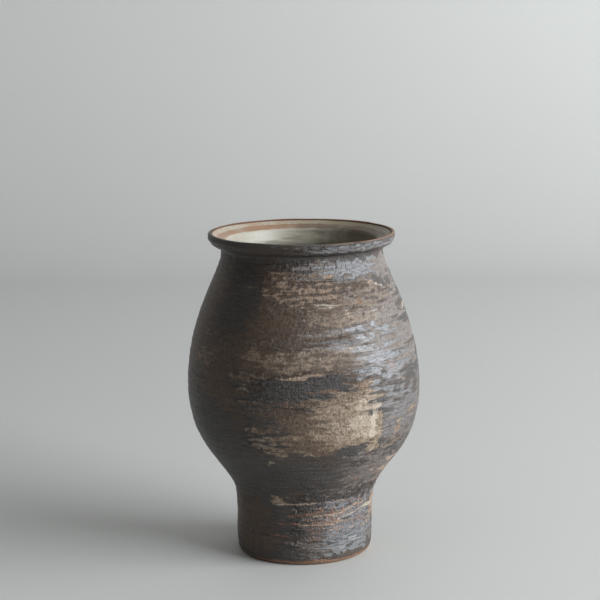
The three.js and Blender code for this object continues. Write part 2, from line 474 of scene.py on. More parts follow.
RIGHT_SIDE = {
    "buff": (
        (51, 56, 107, 121, 0.75, 0.25, 0.25, 1.2, 3),
        (43, 62, 98, 110, 0.55, 0.8, 0, 5),
        (40, 52, 121.5, 124.5, 0.6, 0.5, 0, 3),
        (54, 76, 118, 128, 0.6, 0.7, 0, 5),
    ),
    "iron": (
        (33, 39, 69, 76, 0.5, 0.35, -0.4, 2),
        (4, 6.5, 67.8, 70, 0.5, 0.3, 0, 0.8),
        (50, 108, 70.5, 73.5, 0.6, 0.4, -0.05, 6),
        (56, 112, 60, 70, 0.5, 0.6, 0, 6),
        (46, 51, 157, 167, 0.45, 0.4, 0, 2, 3),
    ),
    "sand": (
        (44, 108, 73, 79, 0.7, 0.35, -0.05, 6),
        (50, 112, 83, 88.5, 0.75, 0.3, -0.1, 6),
    ),
    "cream": (
        (56, 76, 89, 92, 0.5, 0.4, -0.1, 4),
    ),
    "slip": (
        (49, 52.5, 60.4, 62.6, 1, 0, 0, 0.8, 0.4),
        (50, 64, 173.4, 174.6, 0.9, 0.1, -0.05, 3, 0.3),
    ),
}
FOOT = {
    "buff": (
        (-29, -15, 49, 58.8, 1, 0.25, -0.06, 2),
        (-18, -8, 55.6, 58, 0.75, 0.3, 0.03, 2),
        (-36, -30, 58.6, 61.4, 0.65, 0.4, 0.3, 1.5),
    ),
    "cream": (
        (-26, -16, 49.2, 51.4, 0.9, 0.15, 0.03, 2),
        (-25, -19, 56.4, 58.2, 0.65, 0.3, 0, 1.5),
        (-27, -17, 50.5, 56.5, 0.6, 0.55, 0, 2),
        (-9, -5.5, 42.6, 46, 0.6, 0.3, 0.5, 0.8, 0.6),
        (28, 66, 35.6, 37.3, 0.85, 0.15, 0.2, 2, 0.5),
        (55, 82, 39.5, 43, 0.85, 0.2, 0.04, 3),
        (-25, -22, 23.8, 24.8, 0.7, 0.2, 0, 0.6, 0.3),
    ),
    "sand": (
        (-17, 10, 50.2, 51.7, 0.85, 0.15, 0.03, 2, 0.4),
        (-14, 26, 45.8, 47, 0.75, 0.4, 0.02, 3, 0.4),
        (4, 32, 40.2, 41.8, 0.85, 0.2, -0.02, 3, 0.4),
        (29, 50, 40, 41.8, 0.85, 0.2, 0.32, 2, 0.4),
        (46, 90, 45.2, 46.8, 0.8, 0.25, 0.03, 4, 0.4),
        (-6, 32, 32.8, 34.4, 0.85, 0.25, -0.03, 4, 0.4),
        (24, 62, 31.5, 35.5, 0.6, 0.75, 0.15, 5, 0.8),
        (64, 98, 28, 52, 0.75, 0.5, 0.05, 4, 3),
        (12, 30, 28.2, 30.4, 0.75, 0.4, 0, 3, 0.5),
        (18, 32, 23.2, 24.8, 0.8, 0.25, 0.1, 3, 0.4),
        (40, 56, 27, 28.6, 0.7, 0.3, -0.03, 3, 0.5),
        (52, 96, 24.6, 27.6, 0.7, 0.4, 0.06, 4, 0.6),
        (22, 36, 51.4, 53.2, 0.65, 0.35, 0, 2, 0.5),
        (16, 26, 56.2, 58, 0.5, 0.4, 0, 2, 0.5),
    ),
    "iron": (
        (-17, 10, 40.4, 42, 0.8, 0.25, 0.02, 3, 0.5),
        (-24, 4, 33.2, 35, 0.8, 0.3, 0.05, 4, 0.5),
        (4, 22, 20.8, 22.6, 0.6, 0.4, 0.02, 3, 0.5),
        (-34, -12, 23.2, 25.4, 0.8, 0.25, 0, 3, 0.5),
        (-10, 70, 20, 48, 0.5, 1.3, 0.12, 10, 4),
    ),
    "crumbs": (
        (-14, 96, 16, 60, 1, 0, 0.05, 8, 4),
    ),
}
LIP = {
    "iron": (
        (-15, 3, 259.5, 262.5, 0.3, 0.3, 0, 5, 1),
        (44, 92, 261.2, 263.2, 0.5, 0.3, 0, 12, 0.8),
    ),
    # Painted highlight on the lit face of the lip, over burnished slip.
    "burnish_and_painted_sheen": (
        (4, 74, 256, 263, 0.7, 0.3, 0, 10, 1.5),
    ),
    "crumbs": (
        (-20, 80, 250, 263, 0.7, 0, 0, 10, 2),
    ),
    "nicks": (
        (-8, 66, 256, 262.5, 0.45, 0, 0, 8, 1.5),
    ),
}


def marks_behind():
    """Marks for the side that is turned away: drawn at random, in the style of the front."""
    rng = np.random.default_rng(31)
    made = []
    for level in (22, 34, 44, 52, 84, 104, 112, 132, 150, 168, 182, 200, 214, 226, 236):
        for _ in range(2):
            kind = ("buff", "wash", "sand", "iron", "cream")[rng.integers(5)]
            left = rng.uniform(84, 235)
            wide = rng.uniform(14, 60)
            tall = rng.uniform(6, 26) if kind in ("buff", "wash") else rng.uniform(1.2, 2.6)
            strength, dry = rng.uniform(0.4, 0.75), rng.uniform(0.25, 0.5)
            climb, ends = rng.uniform(-0.05, 0.1), rng.uniform(3, 8)
            low, high = level - tall / 2, level + tall / 2
            made.append(mark(kind, left, left + wide, low, high, strength, dry, climb, ends))
    return tuple(made)


RAGGED = 0.6  # how far hairs and blots push a mark's ends and edges, in units of their softness
WIDEST = 1.6  # where hairs and blots are cut off, in units of their spread
BLOTS_APART = 97  # columns by which the blots of the upper edge are those of the lower edge, moved on


def reach_inside(one, hairs, blots):
    """How far inside one mark each place of the skin lies: the least of the distances to its two ends and two
    edges, in units of their softness, with the ends drawn out into hairs and the edges made blotchy."""
    middle = (one.left + one.right) / 2
    angle = (ANGLES[None, :] - middle + 180.0) % 360.0 - 180.0
    half = (one.right - one.left) / 2
    height = LEVELS[:, None] / MM - one.climb * (angle + half)
    from_end = (half - np.abs(angle)) / one.ends + RAGGED * hairs
    from_low = (height - one.low) / one.edge + RAGGED * blots
    from_high = (one.high - height) / one.edge + RAGGED * np.roll(blots, BLOTS_APART, axis=1)
    return np.minimum(from_end, np.minimum(from_low, from_high))


COLOUR_KINDS = ("painted_light_grey", "burnish_and_painted_sheen", "wash", "buff", "pale", "umber", "sand", "cream", "iron", "slip")
KINDS = (*COLOUR_KINDS, "crumbs", "nicks")
PAINTED = (*COLOUR_KINDS, "crumbs", "pit")
PARTS = (WASHES_AND_PAINTED_LIGHT, BELLY_PATCH, ROUGH_BAND, UPPER_BELLY, SHOULDER, LEFT_SIDE, RIGHT_SIDE, FOOT, LIP)


def marks_in_front():
    """The marks of all the tables."""
    return tuple(mark(kind, *row) for part in PARTS for kind, rows in part.items() for row in rows)


@functools.lru_cache(maxsize=1)
def skin():
    """Every layer of the skin: how well each kind of mark covers, from 0 to 1, and the relief's parts."""
    hairs = np.clip(unevenness(3, 14, 0.8), -WIDEST, WIDEST)
    blots = np.clip(unevenness(5, 2.4, 1.1), -WIDEST, WIDEST)
    streaks = 0.8 * unevenness(7, 7, 0.45) + 0.6 * unevenness(8, 1.6, 0.5)
    layers = {kind: np.zeros((SKIN_ROWS, COLUMNS)) for kind in KINDS}
    for each in marks_in_front() + marks_behind():
        inside = np.clip(reach_inside(each, hairs, blots), 0.0, 1.0)
        broken = each.dry * np.clip(0.5 + 0.6 * streaks, 0.0, None)
        cover = each.strength * smooth(0.0, 0.9, inside - broken) * smooth(0.0, 0.3, inside)
        layers[each.kind] = np.maximum(layers[each.kind], cover)
    layers["ridge"] = unevenness(11, 120, 1.0)
    layers["line"] = unevenness(12, 11, 0.5)
    layers["swell"] = unevenness(13, 60, 26)
    layers["grain"] = unevenness(14, 0.6, 0.5)
    layers["pit"] = smooth(2.3, 3.1, unevenness(15, 0.8, 0.75))
    crumbs, hollows = unevenness(16, 1.0, 0.75), unevenness(17, 0.8, 0.7)
    layers["crumb"] = smooth(0.8, 2.4, crumbs) - 0.6 * smooth(1.2, 2.6, hollows)
    burrs, cuts = unevenness(18, 0.9, 2.0), unevenness(19, 0.7, 1.8)
    layers["nick"] = smooth(0.7, 2.2, burrs) - 0.7 * smooth(0.8, 2.2, cuts)
    layers["step"] = ledge_step()
    return layers


# Lower edge of the upper brown patch: its heights, in millimetres, at these angles
LEDGE_ANGLES = (-24, -18, -10, -4, 0, 5, 10, 16, 24)
LEDGE_HEIGHTS = (162.5, 160.8, 158.8, 158.5, 159.5, 161, 162.6, 164, 164.6)


def ledge_step():
    """A step up of height 1 just above the ledge's path, which dies away above it and towards both ends."""
    above = LEVELS[:, None] / MM - np.interp(ANGLES, LEDGE_ANGLES, LEDGE_HEIGHTS)[None, :]
    ends = smooth(-24, -14, ANGLES) * (1 - smooth(12, 24, ANGLES))
    return ends[None, :] * smooth(-0.3, 0.4, above) * np.exp(-np.clip(above, 0, None) / 8)


def relief(surface):
    """Height of the skin above the outline: slow swell, ridges all round, brush lines, grain, crumbs, nicks,
    the ledge and the thickness of the marks, less the pits."""
    layer = skin()
    pale = np.maximum(layer["buff"], layer["cream"])
    rough = np.maximum(pale, layer["crumbs"])
    return (
        surface.unevenness * layer["swell"]
        + surface.ridges * layer["ridge"] * (1 - 0.45 * pale)
        + surface.brush * layer["line"] * (1 - 0.5 * pale)
        + surface.grain * layer["grain"] * (0.5 + 1.2 * rough)
        + surface.lumps * layer["crumb"] * (0.14 + 0.86 * layer["crumbs"] * (1 - 0.5 * layer["buff"]))
        + surface.nicks * layer["nick"] * layer["nicks"]
        + surface.ledge * layer["step"]
        + surface.marks * (pale + layer["sand"] + 0.5 * layer["cream"])
        - surface.pits * layer["pit"] * (0.15 + 0.85 * rough)
    )


def read_skin(layer, heights):
    """A layer's rows at some heights, between its own rows by straight lines."""
    row = np.clip((heights - SKIN_LOW) / SKIN_STEP, 0, SKIN_ROWS - 1.001)
    whole = row.astype(int)
    part = (row - whole)[:, None]
    return layer[whole] * (1 - part) + layer[whole + 1] * part


# ---- Turning a section into a closed mesh ----


CENTRE = 2 * MM  # radius of the fan that closes a piece on the axis
CENTRED = 6 * MM  # radius from which a ring stands off the axis in full
RELIEF_STARTS = (0.5 * MM, 4 * MM)  # heights between which the relief sets in above the table
BARE_ENDS = (3.0 * MM, 5.2 * MM)  # heights between which slip takes over from the bare standing edge
BARE_RAGGED = 0.7 * MM
CREST_WORN = (1.3 * MM, 0.3 * MM)  # depths below the top between which the crest is rubbed bare


def normals_of(points):
    """Unit normals of an open outline, to the right as it is drawn: its direction, turned a quarter."""
    step = np.gradient(points, axis=0)
    step /= np.maximum(np.linalg.norm(step, axis=1), 1e-12)[:, None]
    return np.stack([step[:, 1], -step[:, 0]], axis=1)


def turn_about_axis(points, normals, lift):
    """Turns a section about the vertical axis. A point at radius r and height z, moved out along its normal
    by `lift` (rows x columns), goes to (r sin a + o, -r cos a, z) for each angle a, where o is how far the
    rings of that height stand off the axis."""
    angle = ANGLES * DEGREE
    radius = points[:, :1] + normals[:, :1] * lift
    height = points[:, 1:] + normals[:, 1:] * lift
    offset = off_axis(points[:, 1])[:, None] * smooth(0, CENTRED, points[:, :1])
    return np.stack([radius * np.sin(angle) + offset, -radius * np.cos(angle), height], axis=-1)


def quads_between(rows, columns, closed):
    """Corner numbers of the quads of a grid that closes round the axis, and along the section if `closed`."""
    i = np.arange(rows if closed else rows - 1)[:, None]
    j = np.arange(columns)[None, :]
    across = (i + 1) % rows
    along = (j + 1) % columns
    corners = (i * columns + j, i * columns + along, across * columns + along, across * columns + j)
    return np.stack(np.broadcast_arrays(*corners), axis=-1).reshape(-1, 4)


def mesh_from_grid(name, places, closed, sharp_rows):
    """A closed mesh from rows x columns places. An open section ends on the axis: its first and last rows are
    drawn together in one point each, with a fan of triangles."""
    rows, columns = places.shape[:2]
    vertices = places.reshape(-1, 3)
    corners = quads_between(rows, columns, closed).ravel()
    starts = np.arange(0, len(corners), 4)
    if not closed:
        first = len(vertices)
        j = np.arange(columns)
        low = np.stack([np.full(columns, first), (j + 1) % columns, j], axis=-1)
        top = (rows - 1) * columns
        high = np.stack([np.full(columns, first + 1), top + j, top + (j + 1) % columns], axis=-1)
        vertices = np.concatenate([vertices, [places[0].mean(axis=0), places[-1].mean(axis=0)]])
        starts = np.concatenate([starts, len(corners) + np.arange(0, 6 * columns, 3)])
        corners = np.concatenate([corners, low.ravel(), high.ravel()])
    mesh = bpy.data.meshes.new(name)
    mesh.vertices.add(len(vertices))
    mesh.vertices.foreach_set("co", vertices.astype(np.float32).ravel())
    mesh.loops.add(len(corners))
    mesh.loops.foreach_set("vertex_index", corners.astype(np.int32))
    mesh.polygons.add(len(starts))
    mesh.polygons.foreach_set("loop_start", starts.astype(np.int32))
    mesh.update(calc_edges=True)
    mesh.polygons.foreach_set("use_smooth", np.ones(len(starts), dtype=bool))
    ends = np.empty(2 * len(mesh.edges), dtype=np.int32)
    mesh.edges.foreach_get("vertices", ends)
    edge_rows = ends.reshape(-1, 2) // columns
    sharp = (edge_rows[:, 0] == edge_rows[:, 1]) & np.isin(edge_rows[:, 0], sharp_rows)
    mesh.attributes.new("sharp_edge", "BOOLEAN", "EDGE").data.foreach_set("value", sharp)
    mesh.update()
    return mesh


def paint(mesh, name, values):
    """Stores one number for each vertex, padded with zeros for the poles."""
    padded = np.zeros(len(mesh.vertices), dtype=np.float32)
    padded[: values.size] = values.ravel()
    mesh.attributes.new(name, "FLOAT", "POINT").data.foreach_set("value", padded)


def add_piece(node, ending, mesh, material):
    """Links a mesh as a piece of the vase and hands it to the packed model's node."""
    piece = bpy.data.objects.new(node + ending, mesh)
    bpy.context.scene.collection.objects.link(piece)
    mesh.materials.append(material)
    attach(piece, "root")
    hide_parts(node)


def clay_piece(node, below, outer, normals, heights, inside, closed):
    """One clay piece. Its section runs through `below` (under the base), up the `outer` face and down the
    `inside`. Only the outer face is lifted by the relief and marked, by its `heights` on the skin."""
    surface = bpy.context.scene.vase_surface
    sizes = bpy.context.scene.vase_sizes
    first, last = len(below), len(below) + len(outer)
    points = np.concatenate([np.reshape(below, (-1, 2)), outer, np.reshape(inside, (-1, 2))])
    all_normals = np.zeros_like(points)
    all_normals[first:last] = normals
    skin_heights = np.zeros(len(points))
    skin_heights[first:last] = heights
    skinned = np.zeros((len(points), 1))
    skinned[first:last] = 1.0
    lift = read_skin(relief(surface), skin_heights) * skinned
    lift *= smooth(*RELIEF_STARTS, skin_heights)[:, None]
    places = turn_about_axis(points, all_normals, lift)
    mesh = mesh_from_grid(node, places, closed, [first, last - 1])
    layer = skin()
    for kind in PAINTED:
        paint(mesh, kind, read_skin(layer[kind], skin_heights) * skinned)
    ragged = skin_heights[:, None] + BARE_RAGGED * read_skin(layer["line"], skin_heights)
    bare = 1 - smooth(*BARE_ENDS, ragged)
    paint(mesh, "bare", np.where(skinned > 0, bare, 1.0))
    rubbed = np.maximum(smooth(8, 46, ANGLES), 0.75 * smooth(80, 125, np.abs(ANGLES)))
    low, high = sizes.height - np.array(CREST_WORN)
    paint(mesh, "worn", smooth(low, high, points[:, 1:]) * rubbed)
    add_piece(node, "_clay", mesh, slipped_clay())


# ---- Sections of the pieces ----

TONGUE_DEPTH = 2.2 * MM
TONGUE_WIDTH = 3 * MM
CHAMFER = 0.6 * MM  # from the outer face to where a joint's faces part
ROW_STEP = 0.78 * MM


def way_along(points):
    """Distance of each point of an open line from its first one, along the line."""
    steps = np.linalg.norm(np.diff(points, axis=0), axis=1)
    return np.concatenate([[0.0], np.cumsum(steps)])


def outer_rows(sizes, low, high):
    """Rows up the outer face between two heights, about ROW_STEP apart along the outline."""
    trial = np.linspace(low, high, 200)
    gone = way_along(np.stack([outer_radius(sizes, trial), trial], axis=1))
    count = int(round(gone[-1] / ROW_STEP)) + 1
    heights = np.interp(np.linspace(0, gone[-1], count), gone, trial)
    return np.stack([outer_radius(sizes, heights), heights], axis=1)


def joint_face(sizes, height, side):
    """A joint's face from outside to inside, above (+1) or below (-1) the slip: chamfer, tongue or groove."""
    level = height + side * SLIP_LAYER / 2
    middle = inner_radius(sizes, height, sizes.wall / 2)
    outside = outer_radius(sizes, height)
    return [
        (outside - CHAMFER, level),
        (middle + TONGUE_WIDTH / 2, level),
        (middle, level - TONGUE_DEPTH),
        (middle - TONGUE_WIDTH / 2, level),
    ]


def inner_rows(sizes, low, high, count):
    """Rows up the inner face of the clay between two joints, short of the slip at both ends."""
    heights = np.linspace(low + SLIP_LAYER / 2, high - SLIP_LAYER / 2, count)
    return np.stack([inner_radius(sizes, heights, sizes.wall), heights], axis=1)


def arc(centre, radius, start, end, count):
    """Points of an arc, by its angles in degrees."""
    angle = np.linspace(start, end, count) * DEGREE
    return np.stack([centre[0] + radius * np.cos(angle), centre[1] + radius * np.sin(angle)], axis=1)


def floor_face(sizes):
    """Inside of the base, from the joint down the wall and round the fillet to the floor."""
    level = sizes.floor + sizes.floor_fillet
    wall = inner_radius(sizes, level, sizes.wall)
    rounded = arc((wall - sizes.floor_fillet, level), sizes.floor_fillet, 0, -90, 8)
    top = joint_above("base_dish") - SLIP_LAYER / 2
    return np.concatenate([[(inner_radius(sizes, top, sizes.wall), top)], rounded])


class VASE_OT_base_dish(bpy.types.Operator):
    """Make the base: a recessed floor, the standing ring and the first of the wall"""

    bl_idname = "vase.base_dish"
    bl_label = "Base dish"

    def execute(self, context):
        sizes = context.scene.vase_sizes
        ring_outside = sizes.foot_radius - sizes.foot_round
        ring_inside = ring_outside - sizes.standing_ring
        joint = joint_above("base_dish")
        below = [
            (CENTRE, sizes.recess),
            (ring_inside - 2 * sizes.recess, sizes.recess),
            (ring_inside - sizes.recess, sizes.recess * 0.85),
            (ring_inside - 0.3 * MM, 0.15 * MM),
            (ring_inside, 0.0),
        ]
        rounded = arc((ring_outside, sizes.foot_round), sizes.foot_round, -90, 0, 11)
        wall = outer_rows(sizes, sizes.foot_round, joint)
        outer = np.concatenate([rounded[:-1], wall])
        normals = np.concatenate([normals_of(rounded)[:-1], outward(sizes, wall[:, 1])])
        inside = np.concatenate([joint_face(sizes, joint, -1), floor_face(sizes), [(CENTRE, sizes.floor)]])
        clay_piece("base_dish", below, outer, normals, outer[:, 1], inside, False)
        return {"FINISHED"}


class VASE_OT_wall_rings(bpy.types.Operator):
    """Make the five wall rings, each with a tongue below and a groove above"""

    bl_idname = "vase.wall_rings"
    bl_label = "Wall rings"

    def execute(self, context):
        sizes = context.scene.vase_sizes
        low = joint_above("base_dish")
        for node in WALL_RINGS:
            high = joint_above(node)
            outer = outer_rows(sizes, low, high)
            inside = np.concatenate(
                [
                    joint_face(sizes, high, -1),
                    inner_rows(sizes, low, high, 6)[::-1],
                    joint_face(sizes, low, 1)[::-1],
                ]
            )
            clay_piece(node, [], outer, outward(sizes, outer[:, 1]), outer[:, 1], inside, True)
            low = high
        return {"FINISHED"}


# The lip's section: from the groove up and out round the hollow and the roll, up its face, over the crest
NECK_UPRIGHT = 1.4 * MM  # above the joint in the groove
HOLLOW_OUT, HOLLOW_UP = 3.8 * MM, 5.6 * MM  # from that joint to where hollow and roll meet
ROLL_OUT, ROLL_UP = 4.1 * MM, 1.1 * MM  # from there, to the roll's handle
LIP_FACE = 2 * MM
LIP_ROUND = 1.8 * MM  # from the face up to the crest
CREST_IN = 1.6 * MM  # from the face in to the crest
SEAT_IN = 0.9 * MM  # from the crest in to the seat
SEAT = (5.2 * MM, 3.2 * MM)  # width and drop of the seat
LEDGE = (5.2 * MM, 1.9 * MM)  # width and drop of the ledge below it


def lip_inside(sizes):
    """Clay inside the lip, below the glaze: top and lower end of the seat, and the ledge's arris."""
    crest = sizes.lip_radius - CREST_IN
    seat_top = np.array((crest - SEAT_IN, sizes.height - sizes.glaze - 2 * sizes.glaze_gap))
    seat_end = seat_top - np.array(SEAT)
    return seat_top, seat_end, seat_end - np.array(LEDGE)


class VASE_OT_rim_lip(bpy.types.Operator):
    """Make the rolled lip: tight hollow, swell, upright face, narrow crest and the seat inside"""

    bl_idname = "vase.rim_lip"
    bl_label = "Rim lip"

    def execute(self, context):
        sizes = context.scene.vase_sizes
        groove = joint_above("neck_collar")
        foot = groove + SLIP_LAYER / 2
        neck, lip, height = sizes.neck_radius, sizes.lip_radius, sizes.height
        upright = (neck, foot + NECK_UPRIGHT)
        hollow = (neck + HOLLOW_OUT, foot + HOLLOW_UP)
        roll = (hollow[0] + ROLL_OUT, hollow[1] + ROLL_UP)
        face_top = height - LIP_ROUND
        face_foot = face_top - LIP_FACE
        crest = (lip - CREST_IN, height)
        seat_top, seat_end, arris = lip_inside(sizes)
        crest_end = (seat_top[0], height - sizes.glaze_gap)
        outer = np.concatenate(
            [
                bezier([(neck, groove), upright], 4),
                bezier([upright, (neck, hollow[1] - 0.5 * MM), hollow], 14)[1:],
                bezier([hollow, roll, (lip, face_foot)], 18)[1:],
                bezier([(lip, face_foot), (lip, face_top)], 5)[1:],
                bezier([(lip, face_top), (lip, height), crest], 8)[1:],
                bezier([crest, (crest_end[0], height), crest_end], 4)[1:],
            ]
        )
        normals = normals_of(outer)
        normals[0] = outward(sizes, np.array([groove]))[0]
        throat = (inner_radius(sizes, foot, sizes.wall), foot)
        inside = np.concatenate([[seat_top, seat_end, arris, throat], joint_face(sizes, groove, 1)[::-1]])
        clay_piece("rim_lip", [], outer, normals, groove + way_along(outer), inside, True)
        return {"FINISHED"}


def lining_path(sizes):
    """Inner face of the clay from the floor's middle up to the crest, where the glaze lies on it."""
    heights = np.arange(joint_above("base_dish"), joint_above("neck_collar"), 2.0 * MM)
    walls = np.stack([inner_radius(sizes, heights, sizes.wall), heights], axis=1)
    seat_top, seat_end, arris = lip_inside(sizes)
    down_seat = (seat_end - seat_top) / np.linalg.norm(seat_end - seat_top)
    edge = seat_top + down_seat * 0.5 * MM
    corner = bezier([arris + (walls[-1] - arris) * 0.1, arris, arris + (seat_end - arris) * 0.25], 7)
    step = bezier([seat_end + (arris - seat_end) * 0.25, seat_end, seat_end - down_seat * 1.2 * MM], 6)
    throat = bezier([walls[-1], corner[0]], 8)[1:-1]
    ledge = bezier([corner[-1], step[0]], 6)[1:-1]
    seat = bezier([step[-1], edge], 9)[1:]
    across = np.linspace(CENTRE, floor_face(sizes)[-1][0], 16)
    floor = np.stack([across, np.full(16, sizes.floor)], axis=1)
    rounded = floor_face(sizes)[1:][::-1]
    return np.concatenate([floor[:-1], rounded, walls, throat, corner, ledge, step, seat])


GLAZE_COLUMNS = 4  # the glaze is smooth enough for every fourth column
GLAZE_RINGS = 0.10 * MM  # height of the ridges round the glaze
GLAZE_SWELL = 0.12 * MM  # height of its slower unevenness


class VASE_OT_glaze_lining(bpy.types.Operator):
    """Make the glaze lining: a thin glossy cup over the clay's inner face"""

    bl_idname = "vase.glaze_lining"
    bl_label = "Glaze lining"

    def execute(self, context):
        sizes = context.scene.vase_sizes
        clay = lining_path(sizes)
        inward = -normals_of(clay)
        back = clay + inward * sizes.glaze_gap
        front = clay + inward * (sizes.glaze_gap + sizes.glaze)
        end = clay[-1] - clay[-2]
        middle = (front[-1] + back[-1]) / 2 + end / np.linalg.norm(end) * 0.25 * MM
        heights = front[:, 1]
        lift = GLAZE_RINGS * read_skin(unevenness(21, 160, 1.8), heights)
        lift += GLAZE_SWELL * read_skin(unevenness(22, 22, 9), heights)
        lift *= smooth(2 * MM, 20 * MM, front[:, :1])
        lift *= 1 - 0.7 * smooth(sizes.height - 12 * MM, sizes.height - 8 * MM, heights)[:, None]
        points = np.concatenate([back, [middle], front[::-1]])
        buried = len(back) + 1
        normals = np.concatenate([np.zeros((buried, 2)), inward[::-1]])
        lifts = np.concatenate([np.zeros((buried, COLUMNS)), lift[::-1]])
        places = turn_about_axis(points, normals, lifts)[:, ::GLAZE_COLUMNS]
        mesh = mesh_from_grid("glaze_lining", places, False, [])
        _, seat_end, arris = lip_inside(sizes)
        on_ledge = smooth(arris[1] - 0.5 * MM, arris[1] + 1.0 * MM, heights)
        on_ledge *= 1 - smooth(seat_end[1] + 0.8 * MM, seat_end[1] + 2.2 * MM, heights)
        near_edge = 1 - smooth(0.2 * MM, 1.4 * MM, np.linalg.norm(front - front[-1], axis=1))
        upper = smooth(seat_end[1] - 0.3 * MM, seat_end[1] + 1.2 * MM, heights)
        for kind, values in (("thin", np.maximum(on_ledge, 0.8 * near_edge)), ("seat", upper)):
            paint(mesh, kind, np.repeat(np.concatenate([np.zeros(buried), values[::-1]]), places.shape[1]))
        add_piece("glaze_lining", "_glass", mesh, lining_glaze())
        return {"FINISHED"}


# ---- Materials ----


class Nodes:
    """Adds nodes to one material and wires them up."""

    def __init__(self, material):
        material.use_nodes = True
        self.tree = material.node_tree
        self.tree.nodes.clear()

    def add(self, kind, inputs=None, **settings):
        """A node. Its inputs, by name or number, are set to values or wired to other sockets."""
        node = self.tree.nodes.new(kind)
        for key, value in settings.items():
            setattr(node, key, value)
        for key, value in (inputs or {}).items():
            if isinstance(value, bpy.types.NodeSocket):
                self.tree.links.new(value, node.inputs[key])
            else:
                node.inputs[key].default_value = value
        return node

    def place(self):
        """Object coordinates, in metres."""
        return self.add("ShaderNodeTexCoord").outputs["Object"]

    def sideways(self):
        """The object's x coordinate."""
        return self.add("ShaderNodeSeparateXYZ", {0: self.place()}).outputs["X"]

    def attribute(self, name):
        return self.add("ShaderNodeAttribute", attribute_name=name).outputs["Fac"]

    def noise(self, scale, detail=4.0, roughness=0.55, stretch=(1, 1, 1), distortion=0.0):
        """Noise on object coordinates, `scale` per metre, squeezed by `stretch` along each axis."""
        mapping = self.add("ShaderNodeMapping", {"Vector": self.place(), "Scale": stretch})
        inputs = {"Vector": mapping.outputs["Vector"], "Scale": scale, "Detail": detail}
        inputs.update({"Roughness": roughness, "Distortion": distortion})
        return self.add("ShaderNodeTexNoise", inputs).outputs["Fac"]

    def remap(self, value, low, high, to_low=0.0, to_high=1.0):
        """A value carried from one range to another by an S curve."""
        inputs = {"Value": value, "From Min": low, "From Max": high, "To Min": to_low, "To Max": to_high}
        node = self.add("ShaderNodeMapRange", inputs, interpolation_type="SMOOTHSTEP", clamp=True)
        return node.outputs["Result"]

    def maths(self, operation, a, b):
        return self.add("ShaderNodeMath", {0: a, 1: b}, operation=operation).outputs[0]

    def times(self, a, b):
        return self.maths("MULTIPLY", a, b)

    def plus(self, a, b):
        return self.maths("ADD", a, b)

    def mix(self, factor, first, second):
        """First colour at factor 0, second at 1."""
        inputs = {0: factor, 6: opaque(first), 7: opaque(second)}
        return self.add("ShaderNodeMix", inputs, data_type="RGBA").outputs[2]

    def cover(self, name, breakup, softness=0.3, most=1.0):
        """Where a kind of mark covers: its stored value, pushed up and down by fine noise, but nowhere
        that the mark does not reach."""
        stored = self.attribute(name)
        pushed = self.plus(stored, self.times(breakup, 0.9))
        covered = self.remap(pushed, 0.9 - softness, 0.9 + softness, 0.0, most)
        return self.times(covered, self.remap(stored, 0.02, 0.2))

    def bump(self, height, distance, below=None):
        """A bump of `distance` metres, on top of the bump `below`."""
        inputs = {"Strength": 1.0, "Distance": distance, "Height": height}
        if below is not None:
            inputs["Normal"] = below
        return self.add("ShaderNodeBump", inputs).outputs["Normal"]

    def finish(self, base, rough, **more):
        """Ends the material in one shader; `more` names its further inputs."""
        shader = self.add("ShaderNodeBsdfPrincipled", {"Base Color": base, "Roughness": rough, **more})
        self.add("ShaderNodeOutputMaterial", {"Surface": shader.outputs["BSDF"]})


def opaque(value):
    """A colour property as four numbers; sockets pass through."""
    if isinstance(value, bpy.types.NodeSocket):
        return value
    return (*value, 1.0)


